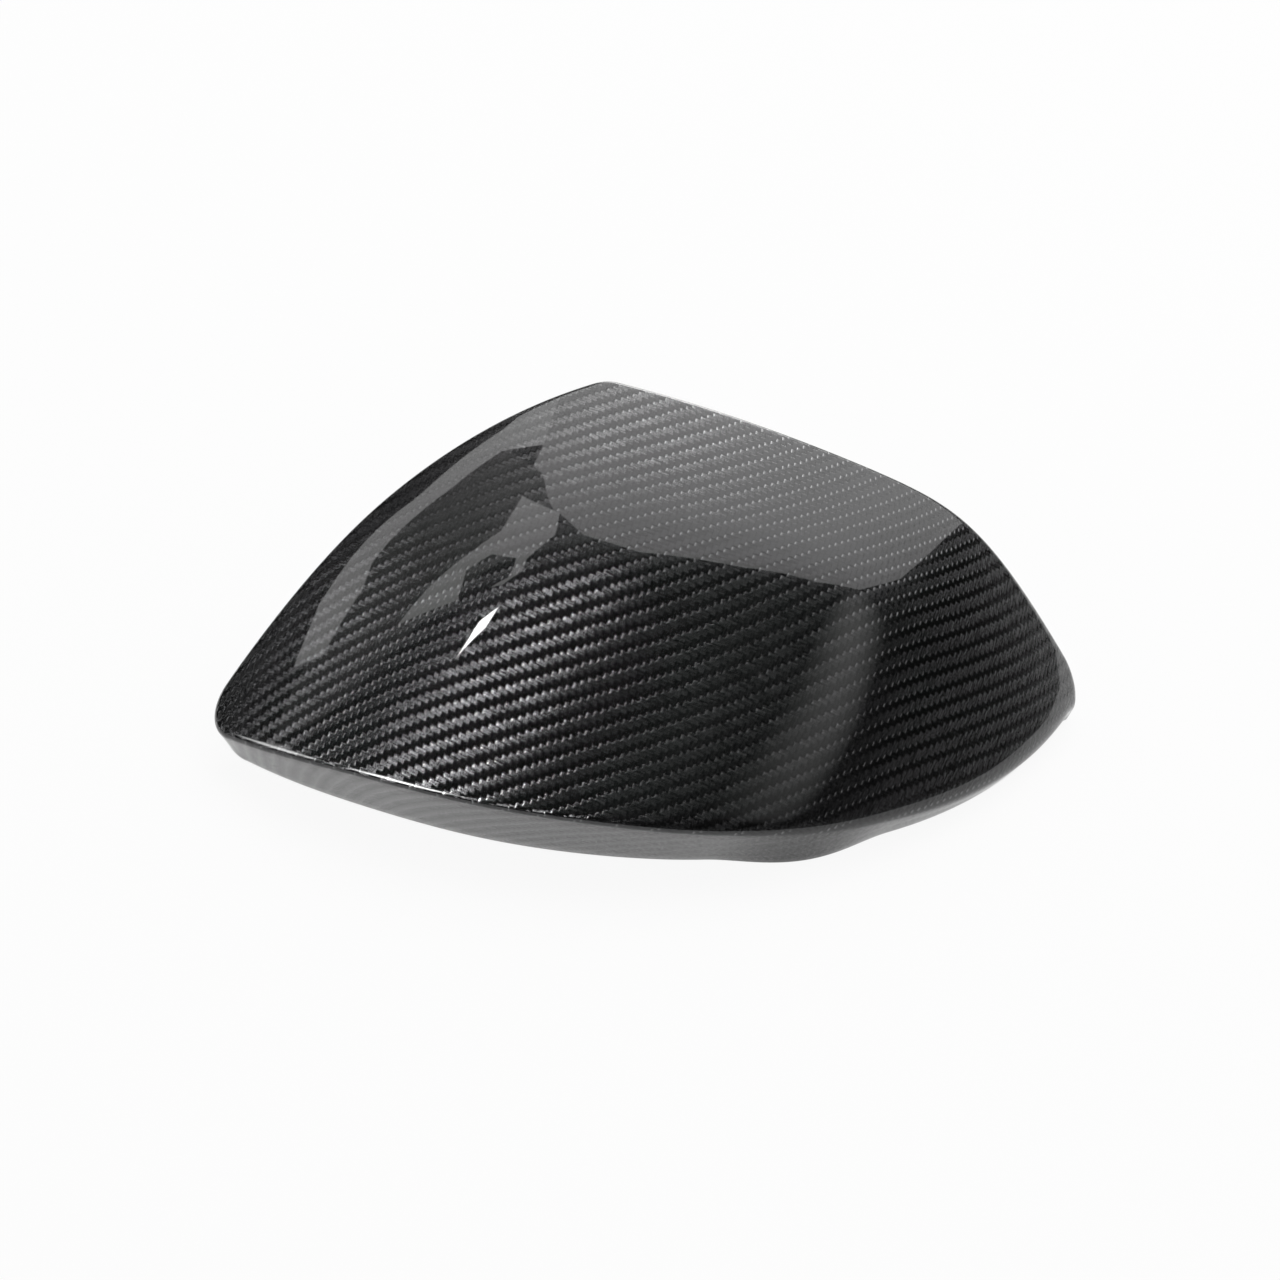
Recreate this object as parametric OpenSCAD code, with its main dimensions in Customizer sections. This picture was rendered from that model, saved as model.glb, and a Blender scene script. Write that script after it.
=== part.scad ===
// Wing mirror cover: a thin lacquered shell bounded by two cuts, the flanged lower edge that it
// stands on and the open back that meets the mirror's frame. Millimetres, X along the length,
// Y towards the back, Z up. The origin is under the middle of the shell, on the rim plane.

/* [Outline, seen from above] */
// Length between the two tips before they are rounded
length = 246; // [200:1:280]
// How far the front edge bows out ahead of the inner tip
front_reach = 73; // [55:1:90]
// How far the outer tip lies ahead of the inner tip
outer_tip_fore = 4; // [0:0.5:12]
// Back corner, distance behind the inner tip
back_reach = 63.5; // [45:0.5:80]
// Back corner, place along the length from the middle
back_x = -3.5; // [-30:0.5:30]
// Shoulder of the back edge, place along the length from the middle
shoulder_x = 75; // [60:1:90]
// Shoulder of the back edge, distance behind the inner tip
shoulder_reach = 16; // [8:0.5:22]
// Bow of the edge between the back corner and the inner tip
inner_side_bow = 10; // [4:0.5:14]
// Hollow of the edge between the back corner and the shoulder
back_side_hollow = 4.5; // [2:0.5:8]
// Corner radius of the inner tip
inner_tip_r = 13.5; // [9:0.5:18]
// Corner radius of the outer tip
outer_tip_r = 6; // [5:0.5:12]
// Corner radius of the back corner
back_corner_r = 8; // [5:0.5:14]

/* [Front face] */
// Height at its middle, above the rim plane
front_h = 46; // [38:0.5:50]
// Rise towards the back, mm per mm
front_rise = 0.71; // [0.6:0.01:0.85]
// Rise towards the outer tip, mm per mm
front_lean = 0.26; // [0.15:0.01:0.35]
// Drop along the length at 100 mm from its middle
front_bow = 6; // [2:0.5:10]
// Twist, drop at 100 mm both along and back from its middle
front_twist = -30; // [-36:1:-20]

/* [Top face] */
// Height at its middle, above the rim plane
top_h = 73; // [68:0.5:80]
// Rise towards the back, mm per mm
top_rise = 0.13; // [0.05:0.01:0.2]
// Drop along the length at 100 mm from its middle
top_bow = 29; // [20:1:34]
// Drop across the width at 100 mm from its middle
top_cross_bow = 22; // [15:1:30]

/* [Inner face] */
// Height at its middle, above the rim plane
inner_h = 47; // [40:0.5:52]
// Rise towards the outer tip, mm per mm
inner_rise = 0.63; // [0.55:0.01:0.8]
// Rise towards the back, mm per mm
inner_lean = 0.27; // [0.15:0.01:0.4]
// Drop along the length at 100 mm from its middle
inner_bow = 19; // [12:1:26]
// Drop across the width at 100 mm from its middle
inner_cross_bow = 11; // [5:1:20]
// Twist, drop at 100 mm both along and back from its middle
inner_twist = -48; // [-56:1:-36]

/* [Outer end] */
// Height at its middle, above the rim plane
outer_h = 26; // [22:0.5:30]
// Fall towards the outer tip, mm per mm
outer_fall = 1.08; // [0.9:0.01:1.3]
// Rise towards the back, mm per mm
outer_rise = 1; // [0.8:0.01:1.2]
// Drop along the length at 100 mm from its middle
outer_bow = 53; // [40:1:65]
// Drop across the width at 100 mm from its middle
outer_cross_bow = 62; // [50:1:80]
// Twist, drop at 100 mm both along and back from its middle
outer_twist = -24; // [-36:1:-12]

/* [Creases between the faces] */
// Softness of the ridge between the inner and the top face
inner_ridge = 8; // [4:0.5:14]
// Softness of the long crease above the front face, at the inner half
front_crease = 8; // [5:0.5:14]
// Softness of the turn into the outer end
outer_turn = 16; // [10:0.5:24]

/* [Wall and edges] */
// Thickness of the laminate
wall = 2; // [1.5:0.1:3]
// Turned-in flange along the front edge, lean from upright in degrees
flange_lean = 34; // [20:1:42]
// Fuller part of the flange, how far it stands out
belly = 4; // [0:0.2:5]
// Fuller part of the flange, place along the length from the middle
belly_x = 32; // [0:1:50]
// Fuller part of the flange, half of its length
belly_half = 27; // [12:1:40]
// Depth of the turned lip around the open back
lip = 5; // [3:0.5:8]
// Setback of the rounded edge at the inner tip
edge_inner = 1.6; // [1:0.1:3]
// Setback of the rounded edge at the outer tip
edge_outer = 2.6; // [2:0.1:5]

/* [Snap clips bonded inside] */
// Places of the clips along the length from the middle
clip_x = [-62, -22, 20, 56]; // [-80:1:80]
// Places of the clips behind the inner tip, one for each place along the length
clip_y = [-24, -38, -40, -30]; // [-50:1:0]
// Direction in which the cover is pushed on, degrees from upright
fit_angle = 46; // [35:1:55]
// Reach of a clip from the shell to its nose
clip_reach = 24; // [16:0.5:30]
// Width of a clip
clip_w = 9; // [6:0.5:14]
// Thickness of a clip's arm
clip_t = 2.2; // [1.6:0.1:3]
// How far a clip's nose stands out from its arm
clip_nose = 1.8; // [1:0.1:3]
// Side of the square pad under a clip
pad_side = 18; // [14:0.5:24]
// Thickness of the pad under a clip
pad_t = 2; // [1.5:0.1:3]
// Adhesive line between a pad and the shell
bond = 0.3; // [0.2:0.05:0.5]

/* [Hidden] */
carbon = "#1b1c1e";
plastic = "#141414";

// Number of points along the front, outer, back and inner sides and round a corner
front_n = 52;
outer_n = 12;
back_n = 18;
inner_n = 26;
corner_n = 8;
// Number of rings from the edge to the middle of the shell, and of steps round the edge
dome_n = 14;
edge_n = 3;
// Least height of the sharp edge above the rim plane
least_edge = 4;
// Least flange left inside where the wall is steep
least_return = 0.6;
// The point of the shell that all its rings close in on
hub = [-3, -6];
// Middles of the faces
front_mid = [-10, -45];
top_mid = [20, 20];
inner_mid = [-75, 15];
outer_mid = [95, -20];
// Softness of the crease above the front face at its outer half
front_crease_outer = 2.5*front_crease;
// Where the crease starts to soften towards the outer tip, and over what length
crease_from = -0.06*length;
crease_run = 0.25*length;
// Where the rounded edge starts to grow towards the outer tip, and over what length
edge_from = -0.04*length;
edge_run = 0.36*length;
// Distance from a face's middle at which its bows and its twist are given
bow_at = 100;

// Smooth step from 0 to 1
function smooth(t) = let(s = min(1, max(0, t))) s*s*(3 - 2*s);
// Lesser of two heights, blended where they differ by less than k
function blend(a, b, k) = let(h = max(k - abs(a - b), 0)/k) min(a, b) - h*h*h*k/6;
function turned(v) = [-v[1], v[0]];
function wrapped(a) = a - 360*floor((a + 180)/360);
function heading(v) = atan2(v[1], v[0]);

// Height of one bowed face: rise from its middle, less its bows and its twist
function bowed(x, y, mid, h, gx, gy, bow, cross, twist) =
    let(u = x - mid[0], v = y - mid[1])
    h + gx*u + gy*v - (bow*u*u + cross*v*v + twist*u*v)/(bow_at*bow_at);

// Height of the outer skin, the lowest of the four faces with soft creases between them
function skin(x, y) =
    let(a = bowed(x, y, inner_mid, inner_h, inner_rise, inner_lean, inner_bow, inner_cross_bow,
            inner_twist),
        b = bowed(x, y, top_mid, top_h, 0, top_rise, top_bow, top_cross_bow, 0),
        d = bowed(x, y, front_mid, front_h, front_lean, front_rise, front_bow, 0, front_twist),
        e = bowed(x, y, outer_mid, outer_h, -outer_fall, outer_rise, outer_bow, outer_cross_bow,
            outer_twist),
        k = front_crease + (front_crease_outer - front_crease)*smooth((x - crease_from)/crease_run),
        z = blend(blend(blend(a, b, inner_ridge), d, k), e, outer_turn))
    max(z, least_edge);

// How much longer a vertical cut through the wall is than the wall's thickness
function steepness(x, y) =
    let(h = 0.5,
        gx = (skin(x + h, y) - skin(x - h, y))/(2*h),
        gy = (skin(x, y + h) - skin(x, y - h))/(2*h))
    sqrt(1 + gx*gx + gy*gy);
function inner_skin(x, y) = skin(x, y) - wall*steepness(x, y);

// Corners of the outline before they are rounded, anticlockwise from the inner tip
inner_tip = [-length/2, 0];
outer_tip = [length/2, -outer_tip_fore];
shoulder = [shoulder_x, shoulder_reach];
back_corner = [back_x, back_reach];

// A side's centre and radius from its ends and its bow, both turned about for a hollow side
function side(p, q, bow) =
    let(chord = norm(q - p), r = (chord*chord/4 + bow*bow)/(2*bow))
    [(p + q)/2 + turned(q - p)/chord*(r - bow), r];
// Angle between a side's chord and its ends
function swing(p, q, bow) = 2*atan(2*bow/norm(q - p));
// Bow of the side from the outer tip to the shoulder, which runs on into the hollow side
outer_swing = wrapped(heading(back_corner - shoulder) - heading(shoulder - outer_tip)
    - swing(shoulder, back_corner, -back_side_hollow));
outer_side_raw = norm(shoulder - outer_tip)/2*tan(outer_swing/2);
outer_side_bow = abs(outer_side_raw) < 0.1 ? 0.1 : outer_side_raw;
front_bow_out = front_reach - outer_tip_fore/2;

front_side = side(inner_tip, outer_tip, front_bow_out);
outer_side = side(outer_tip, shoulder, outer_side_bow);
back_side = side(shoulder, back_corner, -back_side_hollow);
inner_side = side(back_corner, inner_tip, inner_side_bow);

// Centre of the rounding between two sides, the one of two that lies nearer the corner
function round_centre(corner, s0, s1, r) =
    let(d0 = abs(s0[1] - r), d1 = abs(s1[1] - r), gap = s1[0] - s0[0], d = norm(gap),
        a = (d0*d0 - d1*d1 + d*d)/(2*d), h = sqrt(max(d0*d0 - a*a, 0)),
        foot = s0[0] + gap/d*a, off = turned(gap/d)*h)
    norm(foot + off - corner) < norm(foot - off - corner) ? foot + off : foot - off;
outer_tip_c = round_centre(outer_tip, front_side, outer_side, outer_tip_r);
back_corner_c = round_centre(back_corner, back_side, inner_side, back_corner_r);
inner_tip_c = round_centre(inner_tip, inner_side, front_side, inner_tip_r);

// Heading of the outward normal where a side meets a rounding, or at a point of the side
function normal_at(s, c, r) = heading((c - s[0])/(s[1] - r));

// Points of an arc: x, y, outward normal, room for an inset, share of the front flange
function arc(c, r, a0, a1, n, room0, room1, m0, m1) =
    [for (i = [0:n - 1])
        let(f = i/n, a = a0 + wrapped(a1 - a0)*f, u = [cos(a), sin(a)], p = c + u*r,
            run = abs(r*wrapped(a1 - a0))*PI/180)
        [p[0], p[1], u[0], u[1], min(room0 + f*run/2, room1 + (1 - f)*run/2),
            m0 + (m1 - m0)*smooth(f)]];

wide = 1000;
outline = concat(
    arc(inner_tip_c, inner_tip_r, normal_at(inner_side, inner_tip_c, inner_tip_r),
        normal_at(front_side, inner_tip_c, inner_tip_r), corner_n, inner_tip_r, inner_tip_r, 0, 1),
    arc(front_side[0], front_side[1], normal_at(front_side, inner_tip_c, inner_tip_r),
        normal_at(front_side, outer_tip_c, outer_tip_r), front_n, inner_tip_r, outer_tip_r, 1, 1),
    arc(outer_tip_c, outer_tip_r, normal_at(front_side, outer_tip_c, outer_tip_r),
        normal_at(outer_side, outer_tip_c, outer_tip_r), corner_n, outer_tip_r, outer_tip_r, 1, 0),
    side_arc(outer_side, normal_at(outer_side, outer_tip_c, outer_tip_r),
        normal_at(outer_side, shoulder, 0), outer_n, outer_tip_r, wide),
    side_arc(back_side, normal_at(back_side, shoulder, 0),
        normal_at(back_side, back_corner_c, back_corner_r), back_n, wide, back_corner_r),
    arc(back_corner_c, back_corner_r, normal_at(back_side, back_corner_c, back_corner_r),
        normal_at(inner_side, back_corner_c, back_corner_r), corner_n, back_corner_r,
        back_corner_r, 0, 0),
    side_arc(inner_side, normal_at(inner_side, back_corner_c, back_corner_r),
        normal_at(inner_side, inner_tip_c, inner_tip_r), inner_n, back_corner_r, inner_tip_r));
function side_arc(s, a0, a1, n, room0, room1) = arc(s[0], s[1], a0, a1, n, room0, room1, 0, 0);
round_n = len(outline);

// Setback of the rounded edge, and how far the fuller part of the flange stands out
function setback(x) = edge_inner + (edge_outer - edge_inner)*smooth((x - edge_from)/edge_run);
function fullness(x) = belly*pow(max(0, 1 - pow((x - belly_x)/belly_half, 2)), 2);

// A point of the outline moved in by t, at height z
function inset(o, t, z) = [o[0] - o[2]*t, o[1] - o[3]*t, z];
function raised(p, dz) = [p[0], p[1], skin(p[0], p[1]) + dz];
// Point of a rounded edge between two points, drawn towards the sharp edge
function eased(a, b, c, t) = a*(1 - t)*(1 - t) + b*2*t*(1 - t) + c*t*t;
function towards_hub(p, s) = [hub[0] + (p[0] - hub[0])*s, hub[1] + (p[1] - hub[1])*s];

// The flange at a point of the outline: edge height, depth, tuck, wall measured level
function flange(o) =
    let(z = skin(o[0], o[1]), m = o[5], depth = m*z + (1 - m)*lip,
        level = wall/cos(flange_lean*m),
        tuck = min(m*(tan(flange_lean)*z - fullness(o[0])), o[4] - level - 1))
    [z, depth, tuck, level];

// One meridian of the outer skin, from the rim over the edge to the last ring
function outer_line(o) =
    let(f = flange(o), e = setback(o[0]), edge = [o[0], o[1], f[0]],
        rim = inset(o, f[2], f[0] - f[1]), low = edge + (rim - edge)/norm(rim - edge)*e,
        high = raised(inset(o, e, 0), 0))
    concat([rim], [for (i = [0:edge_n - 1]) eased(low, edge, high, i/edge_n)],
        [for (j = [0:dome_n - 1]) raised(towards_hub(high, 1 - j/dome_n), 0)]);

// One meridian of the inner skin, from the rim over the inside corner to the last ring
function inner_line(o) =
    let(f = flange(o), slope = f[2]/f[1], rim = inset(o, f[2] + f[3], f[0] - f[1]),
        q = inset(o, f[3] + slope*wall, 0),
        t = f[3] + slope*max(0, f[0] - inner_skin(q[0], q[1])), p = inset(o, t, 0),
        z = max(inner_skin(p[0], p[1]), f[0] - f[1] + least_return))
    concat([rim, [p[0], p[1], z]],
        [for (j = [1:dome_n - 1])
            let(s = towards_hub(p, 1 - j/dome_n))
            [s[0], s[1], inner_skin(s[0], s[1])]]);

// All meridians of the outer skin, and the middle of their box, which comes to the origin
outer_lines = [for (o = outline) outer_line(o)];
function middle(v) = (max(v) + min(v))/2;
box_mid = [middle([for (l = outer_lines) for (p = l) p[0]]),
    middle([for (l = outer_lines) for (p = l) p[1]])];

// Two triangles for the four corners of a cell, split along the diagonal that lies higher
function cell(pts, a, b, c, d) =
    pts[a][2] + pts[c][2] > pts[b][2] + pts[d][2] ? [[a, b, c], [a, c, d]] : [[a, b, d], [b, c, d]];

module shell() {
    inner = [for (o = outline) inner_line(o)];
    outer_rings = len(outer_lines[0]);
    inner_rings = len(inner[0]);
    pts = concat([for (j = [0:outer_rings - 1]) for (k = [0:round_n - 1]) outer_lines[k][j]],
        [for (j = [0:inner_rings - 1]) for (k = [0:round_n - 1]) inner[k][j]],
        [[hub[0], hub[1], skin(hub[0], hub[1])], [hub[0], hub[1], inner_skin(hub[0], hub[1])]]);
    first_inner = outer_rings*round_n;
    top = first_inner + inner_rings*round_n;
    faces = concat(
        [for (j = [0:outer_rings - 2]) for (k = [0:round_n - 1])
            let(a = j*round_n + k, b = j*round_n + (k + 1) % round_n)
            each cell(pts, a, a + round_n, b + round_n, b)],
        [for (j = [0:inner_rings - 2]) for (k = [0:round_n - 1])
            let(a = first_inner + j*round_n + k, b = first_inner + j*round_n + (k + 1) % round_n)
            each cell(pts, a, b, b + round_n, a + round_n)],
        [for (k = [0:round_n - 1])
            let(a = k, b = (k + 1) % round_n)
            each cell(pts, a, b, first_inner + b, first_inner + a)],
        [for (k = [0:round_n - 1])
            [(outer_rings - 1)*round_n + k, top, (outer_rings - 1)*round_n + (k + 1) % round_n]],
        [for (k = [0:round_n - 1])
            [top - round_n + k, top - round_n + (k + 1) % round_n, top + 1]]);
    color(carbon) placed() polyhedron(points = pts, faces = faces, convexity = 6);
}

// Moves what is drawn about the inner tip's line to the middle of the shell
module placed() {
    translate([-box_mid[0], -box_mid[1], 0])
        children();
}

// A square slab that follows the inner skin, from the bond line down
module slab(x, y, side_length, depth) {
    n = 5;
    at = [for (i = [0:n]) for (j = [0:n])
        [x + (i/n - 0.5)*side_length, y + (j/n - 0.5)*side_length]];
    up = [for (p = at) [p[0], p[1], inner_skin(p[0], p[1]) - bond]];
    down = [for (i = [0:len(at) - 1]) up[i] - [0, 0, depth*steepness(at[i][0], at[i][1])]];
    pts = concat(up, down);
    m = (n + 1)*(n + 1);
    rim = concat([for (i = [0:n - 1]) i*(n + 1)], [for (j = [0:n - 1]) n*(n + 1) + j],
        [for (i = [0:n - 1]) (n - i)*(n + 1) + n], [for (j = [0:n - 1]) n - j]);
    faces = concat(
        [for (i = [0:n - 1]) for (j = [0:n - 1])
            let(a = i*(n + 1) + j)
            each cell(pts, a, a + 1, a + n + 2, a + n + 1)],
        [for (i = [0:n - 1]) for (j = [0:n - 1])
            let(a = m + i*(n + 1) + j)
            each cell(pts, a, a + n + 1, a + n + 2, a + 1)],
        [for (k = [0:len(rim) - 1])
            let(a = rim[k], b = rim[(k + 1) % len(rim)])
            each [[a, b, b + m], [a, b + m, a + m]]]);
    polyhedron(points = pts, faces = faces, convexity = 2);
}

// One clip: its pad, an arm along the fitting direction and a hooked nose at the arm's end
module clip(x, y) {
    slab(x, y, pad_side, pad_t);
    intersection() {
        slab(x, y, 2.4*clip_reach, 2*clip_reach);
        translate([x, y, inner_skin(x, y)])
            rotate([180 + fit_angle, 0, 0])
                translate([-clip_w/2, 0, 0])
                    rotate([90, 0, 90])
                        linear_extrude(clip_w)
                            polygon([[-clip_t/2, -clip_w], [clip_t/2, -clip_w],
                                [clip_t/2, clip_reach - 3*clip_nose],
                                [clip_t/2 + clip_nose, clip_reach - 2.4*clip_nose],
                                [clip_t/2, clip_reach], [-clip_t/2, clip_reach]]);
    }
}

module snap_clips() {
    color(plastic) placed()
        for (i = [0:len(clip_x) - 1])
            clip(clip_x[i], clip_y[i]);
}

shell();
snap_clips();
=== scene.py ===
"""Wing mirror cover: a clear-lacquered carbon cap with clips bonded inside, on a white sweep.

The cap is a quarter of a bowl between two cuts: the sharp lower edge with its turned-in
flange, and the open back that meets the mirror's frame. Metres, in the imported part's frame.
"""

import math
from collections import namedtuple

import bmesh
import bpy
from bpy.props import FloatProperty, FloatVectorProperty, IntProperty, PointerProperty
from mathutils import Matrix, Vector


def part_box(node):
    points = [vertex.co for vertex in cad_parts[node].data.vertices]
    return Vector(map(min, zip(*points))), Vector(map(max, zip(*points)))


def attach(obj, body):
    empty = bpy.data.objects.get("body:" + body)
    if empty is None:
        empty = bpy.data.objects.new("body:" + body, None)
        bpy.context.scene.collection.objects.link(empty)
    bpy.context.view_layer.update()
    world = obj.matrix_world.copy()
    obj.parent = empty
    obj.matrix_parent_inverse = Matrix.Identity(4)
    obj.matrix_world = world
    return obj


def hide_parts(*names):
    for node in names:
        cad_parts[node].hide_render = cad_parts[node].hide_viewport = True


bl_info = {
    "name": "Wing mirror cover",
    "version": (1, 0, 0),
    "blender": (4, 5, 0),
    "location": "3D View > Sidebar > Mirror cover",
    "description": "Builds a lacquered carbon wing mirror cover with its clips",
    "category": "Add Mesh",
}

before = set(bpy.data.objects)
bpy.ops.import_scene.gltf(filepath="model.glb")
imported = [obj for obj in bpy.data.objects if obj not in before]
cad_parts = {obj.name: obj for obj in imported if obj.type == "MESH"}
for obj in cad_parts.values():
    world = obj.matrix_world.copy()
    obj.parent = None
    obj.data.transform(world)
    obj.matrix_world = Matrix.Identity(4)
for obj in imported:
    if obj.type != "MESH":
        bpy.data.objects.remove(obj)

MM = 0.001

# A face of the cap, in millimetres: its middle, its height there, its rise along X and Y, and
# how far its bow, its cross bow and its twist take it down at BOW_AT from the middle
Face = namedtuple("Face", "middle height rise_x rise_y bow cross twist")
BOW_AT = 100
INNER_FACE = Face((-75, 15), 47, 0.63, 0.27, 19, 11, -48)
TOP_FACE = Face((20, 20), 73, 0, 0.13, 29, 22, 0)
FRONT_FACE = Face((-10, -45), 46, 0.26, 0.71, 6, 0, -30)
OUTER_END = Face((95, -20), 26, -1.08, 1, 53, 62, -24)
# How much softer the long crease is at its outer half, where along the cap's length it starts
# to soften and over what share of the length
CREASE_OUTER = 2.5
CREASE_FROM = -0.06
CREASE_RUN = 0.25
# Where along the length the rounded edge starts to grow, and over what share of the length
EDGE_FROM = -0.04
EDGE_RUN = 0.36
# The point of the cap that all its rings close in on
HUB = (-3, -6)
# Least height of the sharp edge, and least flange left inside where the wall is steep
LEAST_EDGE = 4
LEAST_RETURN = 0.6
# Least bow of the side between the outer tip and the shoulder
LEAST_BOW = 0.1
# Room for an inset along a side that runs on without a rounding, and room always left over
WIDE = 1000
TUCK_MARGIN = 1
# Steps along each side and round a corner of the outline, each times the fineness
FRONT_STEPS, OUTER_STEPS, BACK_STEPS, INNER_STEPS, CORNER_STEPS = 52, 12, 18, 26, 8
# Rings from the hub to the edge, outside and inside, and steps round the edge, down the outer
# side of the flange and up its inner side
OUTER_RINGS, INNER_RINGS = 64, 32
EDGE_STEPS, FLANGE_STEPS, RETURN_STEPS = 6, 6, 4
# Where the middle point of a rounded corner lies, as a share of its radius
ROUND_MIDDLE = 0.42
# Most that the cap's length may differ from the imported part's, in metres
FIT = 0.003
# Material slots of the cap
LACQUERED, MOULDED, SEALED = range(3)

# Threads crossed from the cap's middle, as a polynomial of the place on the flat cloth: the
# factor for each pair of powers of X and Y, both counted in lengths of CLOTH_UNIT millimetres
CLOTH_UNIT = 100
WARP = {(1, 0): 52.6, (0, 1): -31.5, (2, 0): 8.5, (1, 1): 5.2, (0, 2): 9.6, (3, 0): 8.9,
        (2, 1): -4.6, (1, 2): 24.7, (0, 3): -0.3}
WEFT = {(1, 0): 43.1, (0, 1): 55.3, (2, 0): -16.7, (1, 1): 10.9, (0, 2): -16.7, (3, 0): -6.7,
        (2, 1): 7.6, (1, 2): -14.8, (0, 3): 1.6}
# Threads in one repeat of the twill, two over and two under
REPEAT = 4
# Bundles of fibres across a thread, each with a flank tilt of its own
BUNDLES = 80
# How sharply a float bends down towards its ends, how closely the painted highlight keeps to a
# weft float's diving end, and how sharply resin shows towards a float's ends and towards its
# sides: powers of the way there from its middle
DIP_POWER, PAINTED_HIGHLIGHT_POWER, END_POWER, SIDE_POWER = 6, 4, 24, 10
# How much resin shows at a float's sides, and how much narrower the fibres' fan of tilt is
# under the painted highlight
SIDE_RESIN = 0.6
GLINT_NARROWING = 0.8
# Most that the threads wander, in threads, where the unevenness is 1
WANDER = 8
# Share of the painted highlight's colour kept on the moulded side, which has no lacquer
MOULDED_PAINTED_HIGHLIGHT = 0.3

# Clips: rounding of their corners in millimetres, distance in metres at which two points are
# one, and the bends that are rounded, smoothed away and shaded as sharp
CLIP_ROUND = 0.3
CLIP_MERGE = 1e-6
CLIP_CORNER = math.radians(40)
CLIP_FLAT = math.radians(4)
CLIP_SHARP = math.radians(35)

# Place that the lamps look at, in metres in the part's frame, and the camera in the form's
AIM = Vector((0, -0.005, 0.035))
# The photograph's frame, its pixels to a millimetre at AIM, and the pixel that AIM lies on
FRAME_PX = 1280
PX_PER_MM = 3.711
AIM_PX = (656.76, 631.9)
# Width of the camera's sensor, in millimetres
SENSOR = 36
# Brightness of the floor for the camera and, with the cover's shadow on it, for mirrors
FLOOR_SEEN = 0.92
FLOOR_MIRRORED = 0.5
# Half of the floor's side, and the radius and the brightness of the dark room
FLOOR_HALF = 4
ROOM_RADIUS = 3
ROOM_GREY = 0.03
# Corners of the softbox, of the bright frame beside it and of the grey wall behind them, as
# directions from the cover: turn from the front towards the outer tip, and height, in degrees
SOFTBOX = {
    "overhead": [(182, 27), (191, 39), (201, 46), (201, 54), (209, 64), (216, 78), (55, 82),
                 (62, 65), (77, 48), (95, 33), (112, 24), (119, 18), (150, 16)],
    "frame_top": [(201, 46), (215, 51), (225, 54), (228, 59), (229, 61), (213, 60), (201, 54)],
    "frame_side": [(215, 51), (224, 50), (235, 46), (239, 55), (237, 54), (230, 52), (225, 54)],
    "frame_end": [(228, 59), (238, 61), (240, 59), (241, 61), (237, 62.5), (229, 61)],
    "frame_low": [(191, 39), (196, 36), (208, 36), (223, 35), (222, 31), (209, 33), (193, 32),
                  (182, 27)],
    "frame_back": [(222, 31), (223, 35), (227, 36), (231, 35), (230, 31), (226, 30)],
}
LEFT_WALL = [(195, 32), (195, 52), (222, 58), (238, 54), (238, 32)]
# Brightness of the frame, the wall and the spot against the softbox's
FRAME_GAIN = 1.3
WALL_GAIN = 0.18
SPOT_GAIN = 20
# Soft windows: turn and height in degrees, width and height in metres, and brightness against
# the brightness of the windows
WINDOWS = {
    "left_window": (-64, 39, 0.66, 0.56, 1.2),
    "low_window": (-105, 26, 0.5, 0.36, 0.4),
    "right_glow": (55, 42, 0.72, 0.5, 0.035),
    "back_window": (166, 19, 0.5, 0.32, 0.27),
}


# Sizes and colours


def length(name, description, default, low, high):
    """A length in metres, given here in millimetres."""
    return FloatProperty(name=name, description=description, default=default * MM,
                         min=low * MM, max=high * MM, unit="LENGTH", precision=4)


def angle(name, description, default, **limits):
    """An angle in radians, given here in degrees."""
    return FloatProperty(name=name, description=description, default=math.radians(default),
                         unit="ROTATION", **limits)


def share(name, description, default, high):
    """A brightness or a slope from 0 up."""
    return FloatProperty(name=name, description=description, default=default, min=0, max=high)


def colour(name, description, default):
    return FloatVectorProperty(name=name, description=description, default=default,
                               subtype="COLOR", min=0, max=1)


class CoverShape(bpy.types.PropertyGroup):
    """Sizes of the cap."""
    length: length("Length", "Length between the tips before they are rounded", 246, 200, 280)
    front_reach: length("Front reach", "Bow of the front edge ahead of the inner tip", 73, 55, 90)
    outer_tip_fore: length("Outer tip fore", "Outer tip ahead of the inner tip", 4, 0, 12)
    back_reach: length("Back reach", "Back corner behind the inner tip", 63.5, 45, 80)
    back_x: length("Back corner place", "Back corner along the length", -3.5, -30, 30)
    shoulder_x: length("Shoulder place", "Shoulder of the back edge along the length", 75, 60, 90)
    shoulder_reach: length("Shoulder reach", "Shoulder behind the inner tip", 16, 8, 22)
    inner_side_bow: length("Inner side bow", "Bow from the back corner to the inner tip", 10, 4, 14)
    back_side_hollow: length("Back side hollow", "Hollow of the back edge", 4.5, 2, 8)
    inner_tip_r: length("Inner tip radius", "Corner radius of the inner tip", 13.5, 9, 18)
    outer_tip_r: length("Outer tip radius", "Corner radius of the outer tip", 6, 5, 12)
    back_corner_r: length("Back corner radius", "Corner radius of the back corner", 8, 5, 14)
    inner_ridge: length("Inner ridge", "Softness of the ridge behind the inner face", 8, 4, 14)
    front_crease: length("Front crease", "Softness of the long crease", 8, 5, 14)
    outer_turn: length("Outer turn", "Softness of the turn into the outer end", 16, 10, 24)
    wall: length("Wall", "Thickness of the laminate", 2, 1.5, 3)
    flange_lean: angle("Flange lean", "Lean of the flange from upright", 34, min=0.2, max=0.8)
    belly: length("Flange belly", "How far the fuller part of the flange stands out", 4, 0, 5)
    belly_x: length("Belly place", "Fuller part of the flange along the length", 32, 0, 50)
    belly_half: length("Belly half", "Half of the fuller part's length", 27, 12, 40)
    lip: length("Lip", "Depth of the turned lip round the open back", 5, 3, 8)
    edge_inner: length("Edge at inner tip", "Setback of the rounded edge", 1.6, 1, 3)
    edge_outer: length("Edge at outer tip", "Setback of the rounded edge", 2.6, 2, 5)
    rim_round: length("Rim rounding", "Rounding of the rim's two corners", 0.4, 0.1, 0.8)


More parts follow.
